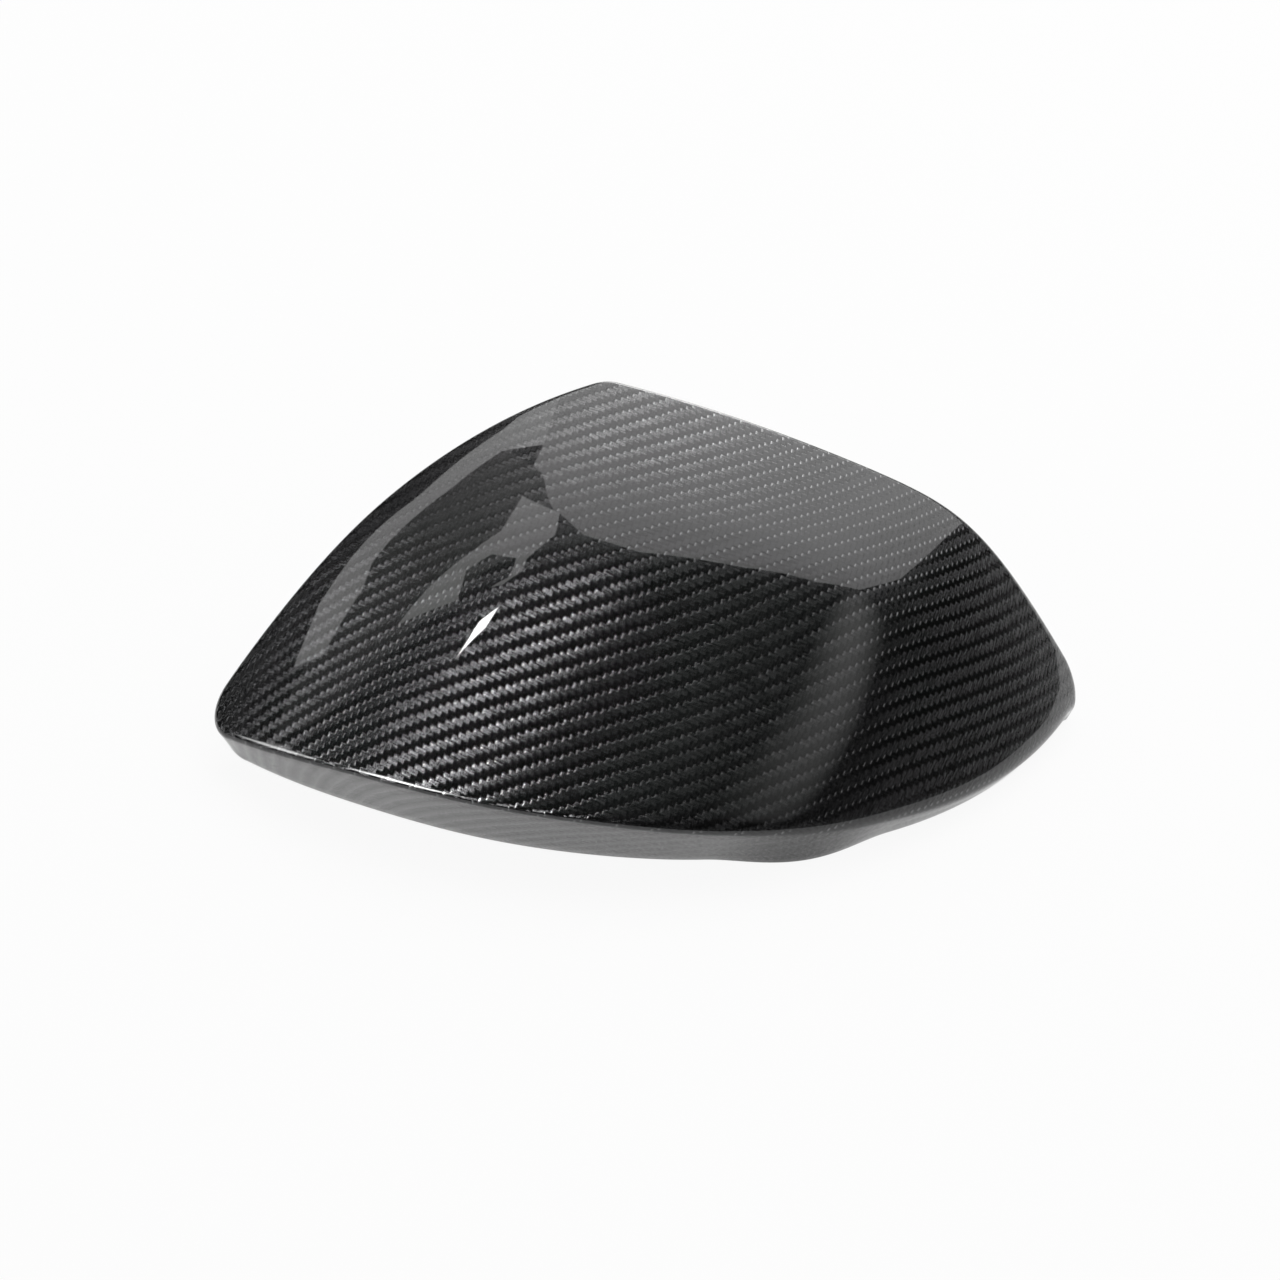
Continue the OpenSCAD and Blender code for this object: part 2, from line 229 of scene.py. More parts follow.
class CoverFinish(bpy.types.PropertyGroup):
    """Colours and finishes."""
    fibre: colour("Fibre", "Colour of the carbon threads", (0.038, 0.038, 0.039))
    # Painted highlight: colour painted into the weave where a weft thread dives under
    glint: colour("Glint", "Colour where a thread dives under", (0.3, 0.3, 0.305))
    resin: colour("Resin", "Colour in the gaps between threads", (0.004, 0.004, 0.0045))
    cut: colour("Cut edge", "Colour of the sealed rim", (0.012, 0.012, 0.013))
    plastic: colour("Plastic", "Colour of the clips", (0.02, 0.02, 0.02))
    flank: share("Fibre flank", "Steepest slope of a fibre's flanks", 0.37, 1.8)
    dip: share("Thread dip", "Slope where a thread goes under the next", 0.35, 1.5)


class CoverStage(bpy.types.PropertyGroup):
    """Floor, lamps and camera."""
    azimuth: angle("Azimuth", "Camera's turn from the front", -13.4)
    elevation: angle("Elevation", "Camera's height angle", 34.7)
    roll: angle("Roll", "Camera's roll", 4.6)
    distance: FloatProperty(name="Distance", description="Camera to object", default=1.5,
                            min=0.5, max=5, unit="LENGTH")
    sky: share("Room", "Brightness of the room for soft light", 0.5, 2)
    softbox: share("Softbox", "Brightness of the overhead softbox", 1.6, 10)
    window: share("Windows", "Brightness of the soft windows", 30, 60)


# Form of the cap, in millimetres: X from halfway between the tips, Y from the inner tip


def smooth(t):
    """Smooth step from 0 to 1."""
    s = min(1.0, max(0.0, t))
    return s * s * (3 - 2 * s)


def blend(a, b, k):
    """Lesser of two heights, blended where they differ by less than k."""
    h = max(k - abs(a - b), 0) / k
    return min(a, b) - h * h * h * k / 6


def bowed(x, y, face):
    """Height of one bowed face: rise from its middle, less its bows and its twist."""
    u, v = x - face.middle[0], y - face.middle[1]
    drop = (face.bow * u * u + face.cross * v * v + face.twist * u * v) / BOW_AT ** 2
    return face.height + face.rise_x * u + face.rise_y * v - drop


def heading(v):
    return math.atan2(v[1], v[0])


def wrapped(a):
    """An angle brought into the half turn either way."""
    return a - 2 * math.pi * math.floor((a + math.pi) / (2 * math.pi))


def turned(v):
    """A flat vector turned left by a quarter."""
    return Vector((-v[1], v[0]))


def inset(point, t, height):
    """A point of the outline moved in by t, at a height."""
    p = point[0] - point[1] * t
    return Vector((p.x, p.y, height))


def towards_hub(p, s):
    """Flat place on the line from the hub, 0, to a point, 1."""
    hub = Vector(HUB)
    return hub + (Vector((p.x, p.y)) - hub) * s


# A stretch of the outline: its arc's centre and radius, the headings of its first and last
# outward normal, its steps, and at both ends the room for an inset and the share of the flange
Stretch = namedtuple("Stretch", "centre radius start end steps rooms shares")

# A cut through the wall at a point of the outline, going round it: outward normal, the skin
# above the rounded edge, the sharp edge before it is rounded, the flange below it, the rim's
# outer and inner corner, where the flange meets the inner skin, the directions down the flange
# and across the rim, and the skin's slant at the edge
Section = namedtuple("Section", "out high edge low rim rim_inside turn_in down across slant")


class Form:
    """The cap's surface and outline for one set of sizes."""

    def __init__(self, sizes):
        for name in CoverShape.__annotations__:
            value = getattr(sizes, name)
            setattr(self, name, value if name == "flange_lean" else value / MM)
        self.make_sides()

    def skin(self, x, y):
        """Height of the outer skin, the lowest of four faces with soft creases between."""
        soft = smooth((x / self.length - CREASE_FROM) / CREASE_RUN)
        crease = self.front_crease * (1 + (CREASE_OUTER - 1) * soft)
        z = blend(bowed(x, y, INNER_FACE), bowed(x, y, TOP_FACE), self.inner_ridge)
        z = blend(z, bowed(x, y, FRONT_FACE), crease)
        return max(blend(z, bowed(x, y, OUTER_END), self.outer_turn), LEAST_EDGE)

    def slope(self, x, y):
        """Rise of the outer skin along X and along Y, each taken over a millimetre."""
        h = 0.5
        return ((self.skin(x + h, y) - self.skin(x - h, y)) / (2 * h),
                (self.skin(x, y + h) - self.skin(x, y - h)) / (2 * h))

    def inner_skin(self, x, y):
        """Height of the inner skin, below the outer by the wall cut upright."""
        gx, gy = self.slope(x, y)
        return self.skin(x, y) - self.wall * math.sqrt(1 + gx * gx + gy * gy)

    @staticmethod
    def side(p, q, bow):
        """A side's centre and radius from its ends and its bow."""
        chord = (q - p).length
        r = (chord * chord / 4 + bow * bow) / (2 * bow)
        return ((p + q) / 2 + turned(q - p) / chord * (r - bow), r)

    def make_sides(self):
        """The outline's corners and its four arcs; the outer one runs on into the back one."""
        inner_tip = Vector((-self.length / 2, 0))
        outer_tip = Vector((self.length / 2, -self.outer_tip_fore))
        shoulder = Vector((self.shoulder_x, self.shoulder_reach))
        back = Vector((self.back_x, self.back_reach))
        self.corners = (inner_tip, outer_tip, shoulder, back)
        swing = 2 * math.atan(-2 * self.back_side_hollow / (back - shoulder).length)
        turn = wrapped(heading(back - shoulder) - heading(shoulder - outer_tip) - swing)
        bow = (shoulder - outer_tip).length / 2 * math.tan(turn / 2)
        self.front = self.side(inner_tip, outer_tip, self.front_reach - self.outer_tip_fore / 2)
        self.outer = self.side(outer_tip, shoulder, bow if abs(bow) >= LEAST_BOW else LEAST_BOW)
        self.back = self.side(shoulder, back, -self.back_side_hollow)
        self.inner = self.side(back, inner_tip, self.inner_side_bow)

    @staticmethod
    def round_centre(corner, s0, s1, r):
        """Centre of the rounding between two sides, the one nearer the corner."""
        d0, d1, gap = abs(s0[1] - r), abs(s1[1] - r), s1[0] - s0[0]
        d = gap.length
        a = (d0 * d0 - d1 * d1 + d * d) / (2 * d)
        off = turned(gap / d) * math.sqrt(max(d0 * d0 - a * a, 0))
        foot = s0[0] + gap / d * a
        near, far = foot + off, foot - off
        return near if (near - corner).length < (far - corner).length else far

    def stretches(self):
        """The outline's stretches, anticlockwise from the inner tip."""
        inner_tip, outer_tip, shoulder, back = self.corners
        ri, ro, rb = self.inner_tip_r, self.outer_tip_r, self.back_corner_r
        ci = self.round_centre(inner_tip, self.inner, self.front, ri)
        co = self.round_centre(outer_tip, self.front, self.outer, ro)
        cb = self.round_centre(back, self.back, self.inner, rb)

        def normal(side, place, r=0):
            """Heading of a side's normal at a point of it, or where a rounding touches it."""
            return heading((place - side[0]) / (side[1] - r))

        front_start, front_end = normal(self.front, ci, ri), normal(self.front, co, ro)
        outer_start, outer_end = normal(self.outer, co, ro), normal(self.outer, shoulder)
        back_start, back_end = normal(self.back, shoulder), normal(self.back, cb, rb)
        inner_start, inner_end = normal(self.inner, cb, rb), normal(self.inner, ci, ri)
        return (
            Stretch(ci, ri, inner_end, front_start, CORNER_STEPS, (ri, ri), (0, 1)),
            Stretch(*self.front, front_start, front_end, FRONT_STEPS, (ri, ro), (1, 1)),
            Stretch(co, ro, front_end, outer_start, CORNER_STEPS, (ro, ro), (1, 0)),
            Stretch(*self.outer, outer_start, outer_end, OUTER_STEPS, (ro, WIDE), (0, 0)),
            Stretch(*self.back, back_start, back_end, BACK_STEPS, (WIDE, rb), (0, 0)),
            Stretch(cb, rb, back_end, inner_start, CORNER_STEPS, (rb, rb), (0, 0)),
            Stretch(*self.inner, inner_start, inner_end, INNER_STEPS, (rb, ri), (0, 0)),
        )

    def outline(self, fine):
        """Points of the outline: place, outward normal, room for an inset, flange share."""
        points = []
        for stretch in self.stretches():
            (room0, room1), (share0, share1) = stretch.rooms, stretch.shares
            swing = wrapped(stretch.end - stretch.start)
            run = abs(stretch.radius * swing)
            for i in range(stretch.steps * fine):
                f = i / (stretch.steps * fine)
                a = stretch.start + swing * f
                out = Vector((math.cos(a), math.sin(a)))
                points.append((stretch.centre + out * stretch.radius, out,
                               min(room0 + f * run / 2, room1 + (1 - f) * run / 2),
                               share0 + (share1 - share0) * smooth(f)))
        return points

    def flange(self, point):
        """Height of the edge, depth below it, how far the rim tucks in, the wall cut level."""
        (x, y), _, room, front = point
        z = self.skin(x, y)
        depth = front * z + (1 - front) * self.lip
        level = self.wall / math.cos(self.flange_lean * front)
        bulge = 1 - ((x - self.belly_x) / self.belly_half) ** 2
        full = self.belly * max(0, bulge) ** 2
        tuck = min(front * (math.tan(self.flange_lean) * z - full), room - level - TUCK_MARGIN)
        return z, depth, tuck, level

    def section(self, point):
        """The cut through the wall at a point of the outline."""
        place, out, _, _ = point
        z, depth, tuck, level = self.flange(point)
        setback = self.edge_inner + (self.edge_outer - self.edge_inner) * smooth(
            (place.x / self.length - EDGE_FROM) / EDGE_RUN)
        edge = inset(point, 0, z)
        rim = inset(point, tuck, z - depth)
        rim_inside = inset(point, tuck + level, z - depth)
        down = (rim - edge).normalized()
        high = inset(point, setback, 0)
        high.z = self.skin(high.x, high.y)
        gx, gy = self.slope(high.x, high.y)
        slant = math.sqrt(1 + (gx * out.x + gy * out.y) ** 2)
        lean = tuck / depth
        probe = inset(point, level + lean * self.wall, 0)
        t = level + lean * max(0, z - self.inner_skin(probe.x, probe.y))
        turn_in = inset(point, t, 0)
        turn_in.z = max(self.inner_skin(turn_in.x, turn_in.y), z - depth + LEAST_RETURN)
        return Section(out, high, edge, edge + down * setback, rim, rim_inside, turn_in, down,
                       (rim_inside - rim).normalized(), slant)

    def outer_line(self, cut):
        """Points from the hub over the edge and down the flange to the middle of the rim.

        Each point comes with its place on the flat cloth, which runs on over the edge.
        """
        line = []
        for j in range(OUTER_RINGS):
            s = towards_hub(cut.high, (j + 1) / OUTER_RINGS)
            line.append((Vector((s.x, s.y, self.skin(s.x, s.y))), s))
        r = self.rim_round
        bend = [cut.high * (1 - t) ** 2 + cut.edge * 2 * t * (1 - t) + cut.low * t * t
                for t in ((i + 1) / EDGE_STEPS for i in range(EDGE_STEPS))]
        bend += [cut.low + (cut.rim - cut.down * r - cut.low) * (i + 1) / FLANGE_STEPS
                 for i in range(FLANGE_STEPS)]
        bend += [cut.rim - (cut.down - cut.across * ROUND_MIDDLE) * r * ROUND_MIDDLE,
                 cut.rim + cut.across * r]
        start = Vector((cut.high.x, cut.high.y))
        travelled = 0.0
        for p in bend:
            travelled += (p - line[-1][0]).length
            line.append((p, start + cut.out * travelled / cut.slant))
        return line

    def inner_line(self, cut):
        """Points from the middle of the rim up the flange and back to the hub, in the same way."""
        r = self.rim_round
        corner, p = cut.rim_inside, cut.turn_in
        far = (p - corner).length
        up = (p - corner).normalized()
        bend = [corner - cut.across * r,
                corner + (up - cut.across * ROUND_MIDDLE) * r * ROUND_MIDDLE]
        bend += [corner + up * (r + (far - r) * i / RETURN_STEPS) for i in range(RETURN_STEPS)]
        start = Vector((p.x, p.y))
        line = [(c, start + cut.out * (c - p).length / cut.slant) for c in bend]
        line.append((p, start))
        for j in range(1, INNER_RINGS):
            s = towards_hub(p, 1 - j / INNER_RINGS)
            line.append((Vector((s.x, s.y, self.inner_skin(s.x, s.y))), s))
        return line


def cloth(threads, x, y):
    """Threads crossed on the way to a place on the flat cloth."""
    u, v = x / CLOTH_UNIT, y / CLOTH_UNIT
    return sum(c * u ** i * v ** j for (i, j), c in threads.items())


# Mesh helpers


def ring_edges(bm, ring):
    """Edges of a closed ring of vertices."""
    return [bm.edges.get((ring[i], ring[(i + 1) % len(ring)])) for i in range(len(ring))]


def extrude_ring(bm, ring):
    """Extrudes a closed ring of vertices and returns the new ones in the same order."""
    geom = bmesh.ops.extrude_edge_only(bm, edges=ring_edges(bm, ring))["geom"]
    fresh = {g for g in geom if isinstance(g, bmesh.types.BMVert)}
    return [next(e.other_vert(v) for e in v.link_edges if e.other_vert(v) in fresh)
            for v in ring]


def close_ring(bm, ring, place, slot):
    """Closes a ring with a fan of faces round a new vertex, which is returned."""
    cap = bmesh.ops.edgeloop_fill(bm, edges=ring_edges(bm, ring))["faces"]
    hub = bmesh.ops.poke(bm, faces=cap)["verts"][0]
    hub.co = place
    for face in hub.link_faces:
        face.material_index = slot
    return hub


def mesh_object(bm, name):
    """An object with a bmesh as its mesh, linked to the scene."""
    mesh = bpy.data.meshes.new(name)
    bm.to_mesh(mesh)
    bm.free()
    obj = bpy.data.objects.new(name, mesh)
    bpy.context.collection.objects.link(obj)
    return obj


def finish_piece(bm, name):
    """Turns a bmesh into a smooth object that rides on the part's body."""
    obj = mesh_object(bm, name)
    for polygon in obj.data.polygons:
        polygon.use_smooth = True
    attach(obj, "root")
    return obj


# Materials


class Nodes:
    """Short ways to add and link nodes in one tree."""

    def __init__(self, tree):
        self.tree = tree
        self.column = 0

    def add(self, kind, **settings):
        """Adds a node, in rows of twelve."""
        node = self.tree.nodes.new(kind)
        self.column += 1
        node.location = (self.column % 12 * 190, -(self.column // 12) * 260)
        for key, value in settings.items():
            setattr(node, key, value)
        return node

    def put(self, value, socket):
        """Links a socket to another, or gives it a value."""
        if isinstance(value, bpy.types.NodeSocket):
            self.tree.links.new(value, socket)
        else:
            socket.default_value = value

    def math(self, operation, *values, clamp=False):
        node = self.add("ShaderNodeMath", operation=operation, use_clamp=clamp)
        for value, socket in zip(values, node.inputs):
            self.put(value, socket)
        return node.outputs[0]

    def power(self, value, exponent):
        """Size of a value, whatever its sign, to a power."""
        return self.math("POWER", self.math("ABSOLUTE", value), exponent)

    def mix(self, factor, a, b):
        node = self.add("ShaderNodeMix", data_type="FLOAT")
        for value, socket in zip((factor, a, b), node.inputs[:1] + node.inputs[2:4]):
            self.put(value, socket)
        return node.outputs[0]

    def mix_colour(self, factor, a, b):
        node = self.add("ShaderNodeMix", data_type="RGBA")
        for value, socket in zip((factor, a, b), (node.inputs[0], *node.inputs[6:8])):
            self.put(value, socket)
        return node.outputs[2]

    def show(self, shader):
        """Makes a shader node the material's surface."""
        self.put(shader.outputs[0], self.tree.nodes["Material Output"].inputs["Surface"])


def fill(node, **values):
    """Sets a node's own sockets; a socket's name is given with _ for each space."""
    for label, value in values.items():
        node.inputs[label.replace("_", " ")].default_value = value


def new_group(name, inputs, outputs):
    """A shader node group with named sockets; returns its nodes, inputs and output node."""
    tree = bpy.data.node_groups.new(name, "ShaderNodeTree")
    for label, kind, default in inputs:
        socket = tree.interface.new_socket(label, in_out="INPUT", socket_type=kind)
        if default is not None:
            socket.default_value = default
    for label, kind in outputs:
        tree.interface.new_socket(label, in_out="OUTPUT", socket_type=kind)
    nodes = Nodes(tree)
    return tree, nodes, nodes.add("NodeGroupInput").outputs, nodes.add("NodeGroupOutput").inputs


def wandering_threads(n, given):
    """The two thread counts at a place, swayed a little as hand-laid cloth is."""
    wander = n.add("ShaderNodeTexNoise", noise_dimensions="3D")
    fill(wander, Scale=0.35, Detail=1)
    n.put(given["Threads"], wander.inputs["Vector"])
    counts = n.add("ShaderNodeSeparateXYZ")
    n.put(given["Threads"], counts.inputs[0])
    shift = n.add("ShaderNodeSeparateXYZ")
    n.put(wander.outputs["Color"], shift.inputs[0])
    sway = n.math("MULTIPLY", given["Uneven"], WANDER)
    return [n.math("MULTIPLY_ADD", n.math("SUBTRACT", shift.outputs[k], 0.5), sway,
                   counts.outputs[k]) for k in (0, 1)]


def twill_group():
    """A 2x2 twill: two threads over, two under, stepping one thread at each pass.

    Each thread is a flat bundle of fine round fibres, so it mirrors light in a fan across
    its run. The fibres' flanks give the tilt, too fine to be seen one by one.
    """
    name = "Twill cloth"
    if name in bpy.data.node_groups:
        return bpy.data.node_groups[name]
    tree, n, given, out = new_group(
        name,
        [("Threads", "NodeSocketVector", None), ("Fibre", "NodeSocketColor", None),
         ("Glint", "NodeSocketColor", None), ("Resin", "NodeSocketColor", None),
         ("Flank", "NodeSocketFloat", 1.0), ("Dip", "NodeSocketFloat", 0.4),
         ("Uneven", "NodeSocketFloat", 0.05)],
        [("Color", "NodeSocketColor"), ("Tilt", "NodeSocketColor")])
    u, v = wandering_threads(n, given)
    column, row = n.math("FLOOR", u), n.math("FLOOR", v)

    # Place along a float of each direction, from -1 to 1 where it is the upper thread
    half = REPEAT / 2
    along_warp = n.math("WRAP", n.math("SUBTRACT", v, column), half, -half)
    along_weft = n.math("WRAP", n.math("ADD", n.math("SUBTRACT", u, row), 1), half, -half)
    warp = n.math("LESS_THAN", n.math("ABSOLUTE", along_warp), 1)
    along = n.mix(warp, along_weft, along_warp)
    crossing = n.mix(warp, v, u)
    across = n.math("MULTIPLY_ADD", n.math("FRACT", crossing), 2, -1)

    # One random number for each bundle of fibres in each float
    place = n.add("ShaderNodeCombineXYZ")
    n.put(n.math("FLOOR", n.math("MULTIPLY", crossing, BUNDLES)), place.inputs[0])
    n.put(n.mix(warp, n.math("FLOOR", n.math("DIVIDE", n.math("ADD", u, row), REPEAT)),
                n.math("FLOOR", n.math("DIVIDE", n.math("ADD", v, column), REPEAT))),
          place.inputs[1])
    bundle = n.add("ShaderNodeTexWhiteNoise", noise_dimensions="2D")
    n.put(place.outputs[0], bundle.inputs["Vector"])

    # Painted highlight: its mask is the end of a weft float that dives under, away from
    # the float's sides
    painted_highlight_mask = n.math("POWER", n.math("MAXIMUM", n.math("MULTIPLY", along, -1), 0), PAINTED_HIGHLIGHT_POWER)
    painted_highlight_mask = n.math("MULTIPLY", n.math("MULTIPLY", painted_highlight_mask, n.math("SUBTRACT", 1, warp)),
                  n.math("SUBTRACT", 1, n.power(across, 2)))

    # Slopes across and along the thread, s and t, as the colour of the normal (s, t, 1) / 2
    flank = n.math("MULTIPLY", n.math("MULTIPLY_ADD", bundle.outputs["Value"], 2, -1),
                   n.math("MULTIPLY", given["Flank"],
                          n.math("MULTIPLY_ADD", painted_highlight_mask, -GLINT_NARROWING, 1, clamp=True)))
    dip = n.math("MULTIPLY", n.power(along, DIP_POWER),
                 n.math("MULTIPLY", n.math("SIGN", along), given["Dip"]))
    tilt = n.add("ShaderNodeCombineColor")
    n.put(n.math("MULTIPLY_ADD", n.mix(warp, dip, flank), 0.25, 0.5), tilt.inputs[0])
    n.put(n.math("MULTIPLY_ADD", n.mix(warp, flank, dip), 0.25, 0.5), tilt.inputs[1])
    tilt.inputs[2].default_value = 0.75
    n.put(tilt.outputs[0], out["Tilt"])

    # Painted highlight: the Glint colour mixed over the fibre colour by that mask
    threads = n.mix_colour(painted_highlight_mask, given["Fibre"], given["Glint"])
    gap = n.math("MAXIMUM", n.power(along, END_POWER),
                 n.math("MULTIPLY", n.power(across, SIDE_POWER), SIDE_RESIN))
    n.put(n.mix_colour(gap, threads, given["Resin"]), out["Color"])
    return tree


def plain_material(name):
    """A new material; returns it with its nodes and its Principled BSDF."""
    material = bpy.data.materials.new(name)
    material.use_nodes = True
    n = Nodes(material.node_tree)
    return material, n, material.node_tree.nodes["Principled BSDF"]


def cloth_material(name, finish, lacquer):
    """Carbon twill, under clear lacquer on the outside or as moulded on the inside."""
    material, n, shader = plain_material(name)
    uv = n.add("ShaderNodeUVMap", uv_map="Threads")
    twill = n.add("ShaderNodeGroup", node_tree=twill_group())
    n.put(uv.outputs[0], twill.inputs["Threads"])
    # Painted highlight colour, kept at a share of it on the moulded side
    glint = [c if lacquer else MOULDED_PAINTED_HIGHLIGHT * c for c in finish.glint]
    fill(twill, Fibre=(*finish.fibre, 1), Glint=(*glint, 1), Resin=(*finish.resin, 1),
         Flank=finish.flank, Dip=finish.dip)
    n.put(twill.outputs["Color"], shader.inputs["Base Color"])
    relief = n.add("ShaderNodeNormalMap", space="TANGENT", uv_map="Threads")
    n.put(twill.outputs["Tilt"], relief.inputs["Color"])
    n.put(relief.outputs[0], shader.inputs["Normal"])
    fill(shader, Metallic=1, Roughness=0.2 if lacquer else 0.4)
    if lacquer:
        fill(shader, Coat_Weight=1, Coat_Roughness=0.02, Coat_IOR=1.5)
    return material


def rim_material(finish):
    """Cut laminate, sealed with resin."""
    material, _, shader = plain_material("Sealed rim")
    fill(shader, Base_Color=(*finish.cut, 1), Roughness=0.35)
    return material


def plastic_material(finish):
    """Moulded plastic with a fine grain."""
    material, n, shader = plain_material("Moulded plastic")
    fill(shader, Base_Color=(*finish.plastic, 1), Roughness=0.5)
    where = n.add("ShaderNodeTexCoord")
    grain = n.add("ShaderNodeTexNoise")
    fill(grain, Scale=2500)
    n.put(where.outputs["Object"], grain.inputs["Vector"])
    bump = n.add("ShaderNodeBump")
    fill(bump, Strength=0.15, Distance=0.0001)
    n.put(grain.outputs[0], bump.inputs["Height"])
    n.put(bump.outputs[0], shader.inputs["Normal"])
    return material


def floor_material():
    """A white floor that takes the cover's shadow."""
    material, n, shader = plain_material("White floor")
    fill(shader, Base_Color=(0.9, 0.9, 0.9, 1), Roughness=1, Specular_IOR_Level=0)
    path = n.add("ShaderNodeLightPath")
    mirrored = n.math("MAXIMUM", path.outputs["Is Glossy Ray"],
                      path.outputs["Is Transmission Ray"])
    seen = n.math("MAXIMUM", n.math("MULTIPLY", path.outputs["Is Camera Ray"], FLOOR_SEEN),
                  n.math("MULTIPLY", mirrored, FLOOR_MIRRORED))
    glow = n.add("ShaderNodeEmission")
    fill(glow, Strength=1)
    both = n.add("ShaderNodeMixShader")
    n.put(seen, both.inputs[0])
    n.put(shader.outputs[0], both.inputs[1])
    n.put(glow.outputs[0], both.inputs[2])
    n.show(both)
    return material


def glow_material(name, brightness):
    """An even white glow."""
    material, n, _ = plain_material(name)
    glow = n.add("ShaderNodeEmission")
    fill(glow, Strength=brightness)
    n.show(glow)
    return material


def window_material(name, brightness):
    """A glow on a square from -1 to 1 that fades to nothing at its edges and hides nothing."""
    material, n, _ = plain_material(name)
    axes = n.add("ShaderNodeSeparateXYZ")
    n.put(n.add("ShaderNodeTexCoord").outputs["Object"], axes.inputs[0])
    fall = [n.math("SUBTRACT", 1, n.power(axes.outputs[k], 2)) for k in (0, 1)]
    glow = n.add("ShaderNodeEmission")
    n.put(n.math("MULTIPLY", n.math("MULTIPLY", *fall), brightness), glow.inputs["Strength"])
    both = n.add("ShaderNodeAddShader")
    n.put(glow.outputs[0], both.inputs[0])
    n.put(n.add("ShaderNodeBsdfTransparent").outputs[0], both.inputs[1])
    n.show(both)
    return material


# Pieces


class COVER_OT_shell(bpy.types.Operator):
    """Build the carbon cap from its four faces, its flange and its lip"""
    bl_idname = "mirror_cover.shell"
    bl_label = "Carbon cap"

    fine: IntProperty(name="Fineness", description="Points per step of the outline", default=4,
                      min=1, max=8)

    def execute(self, context):
        form = Form(context.scene.cover_shape)
        cuts = [form.section(point) for point in form.outline(self.fine)]
        outer = [form.outer_line(cut) for cut in cuts]
        inner = [form.inner_line(cut) for cut in cuts]
        middle = self.middle(outer)

        bm = bmesh.new()
        bmesh.ops.create_circle(bm, segments=len(cuts), radius=1)
        first = ring = list(bm.verts)
        spots = {}
        for level, stops in enumerate(zip(*(a + b for a, b in zip(outer, inner)))):
            if level:
                ring = extrude_ring(bm, ring)
            for v, (place, spot) in zip(ring, stops):
                v.co = place
                spots[v] = spot
        self.set_slots(bm, len(cuts), len(outer[0]))
        for ends, height, slot in ((first, form.skin(*HUB), LACQUERED),
                                   (ring, form.inner_skin(*HUB), MOULDED)):
            spots[close_ring(bm, ends, (*HUB, height), slot)] = Vector(HUB)
        self.lay_cloth(bm, spots)
        bmesh.ops.recalc_face_normals(bm, faces=bm.faces)
        bmesh.ops.translate(bm, verts=bm.verts, vec=-middle)
        bmesh.ops.scale(bm, verts=bm.verts, vec=(MM, MM, MM))

        obj = finish_piece(bm, "carbon_cap")
        context.scene["cover_middle"] = middle * MM
        finish = context.scene.cover_finish
        for material in (cloth_material("Lacquered twill", finish, True),
                         cloth_material("Moulded twill", finish, False), rim_material(finish)):
            obj.data.materials.append(material)
        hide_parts("shell")
        return {"FINISHED"}

    @staticmethod
    def middle(lines):
        """Middle of the outline's box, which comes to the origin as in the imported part."""
        xs = [place.x for line in lines for place, _ in line]
        ys = [place.y for line in lines for place, _ in line]
        low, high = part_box("shell")
        if abs((max(xs) - min(xs)) * MM - (high[0] - low[0])) > FIT:
            raise RuntimeError("the cap's sizes no longer match the packed part")
        return Vector(((max(xs) + min(xs)) / 2, (max(ys) + min(ys)) / 2, 0))

    @staticmethod
    def set_slots(bm, ring_size, outer_count):
        """Gives the faces their slots: lacquered up to the rim, sealed on it, then moulded.

        The rim's faces run from the last but one outer ring to the second inner ring.
        """
        for i, face in enumerate(bm.faces):
            level = i // ring_size
            face.material_index = (LACQUERED if level < outer_count - 2 else
                                   SEALED if level < outer_count + 1 else MOULDED)

    @staticmethod
    def lay_cloth(bm, spots):
        """Stores the two thread counts of each vertex as the UV map that the weave reads."""
        layer = bm.loops.layers.uv.new("Threads")
        for face in bm.faces:
            for loop in face.loops:
                spot = spots[loop.vert]
                loop[layer].uv = (cloth(WARP, *spot), cloth(WEFT, *spot))


class COVER_OT_clips(bpy.types.Operator):
    """Round the corners of the four clips that are bonded inside"""
    bl_idname = "mirror_cover.clips"
    bl_label = "Snap clips"

    def execute(self, context):
        bm = bmesh.new()
        bm.from_mesh(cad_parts["snap_clips"].data)
        bmesh.ops.remove_doubles(bm, verts=bm.verts, dist=CLIP_MERGE)
        bmesh.ops.dissolve_limit(bm, angle_limit=CLIP_FLAT, verts=bm.verts, edges=bm.edges)
        corners = [e for e in bm.edges if e.is_manifold and e.calc_face_angle() > CLIP_CORNER]
        bmesh.ops.bevel(bm, geom=corners, offset=CLIP_ROUND * MM, offset_type="OFFSET",
                        segments=2, profile=0.5, affect="EDGES", material=-1,
                        clamp_overlap=True)
        obj = finish_piece(bm, "snap_clip_set")
        obj.data.set_sharp_from_angle(angle=CLIP_SHARP)
        obj.data.materials.append(plastic_material(context.scene.cover_finish))
        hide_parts("snap_clips")
        return {"FINISHED"}


# Stage


def direction(azimuth, elevation):
    """Unit vector; azimuth in degrees from the front towards the outer tip."""
    a, e = math.radians(azimuth), math.radians(elevation)
    return Vector((math.sin(a) * math.cos(e), -math.cos(a) * math.cos(e), math.sin(e)))


def hung(azimuth, elevation, distance=1.2):
    """Place and turn of a lamp that hangs in a direction and looks at the cover."""
    place = AIM + direction(azimuth, elevation) * distance
    turn = (AIM - place).to_track_quat("-Z", "Y").to_matrix().to_4x4()
    return Matrix.Translation(place) @ turn


def small_lamp(name, azimuth, elevation, size, brightness):
    """A small square lamp, the only one that isn't a glowing surface."""
    data = bpy.data.lights.new(name, "AREA")
    data.shape = "SQUARE"
    data.size = size
    data.energy = brightness * math.pi * size * size
    obj = bpy.data.objects.new(name, data)
    bpy.context.collection.objects.link(obj)
    obj.matrix_world = hung(azimuth, elevation)
    obj.visible_camera = False


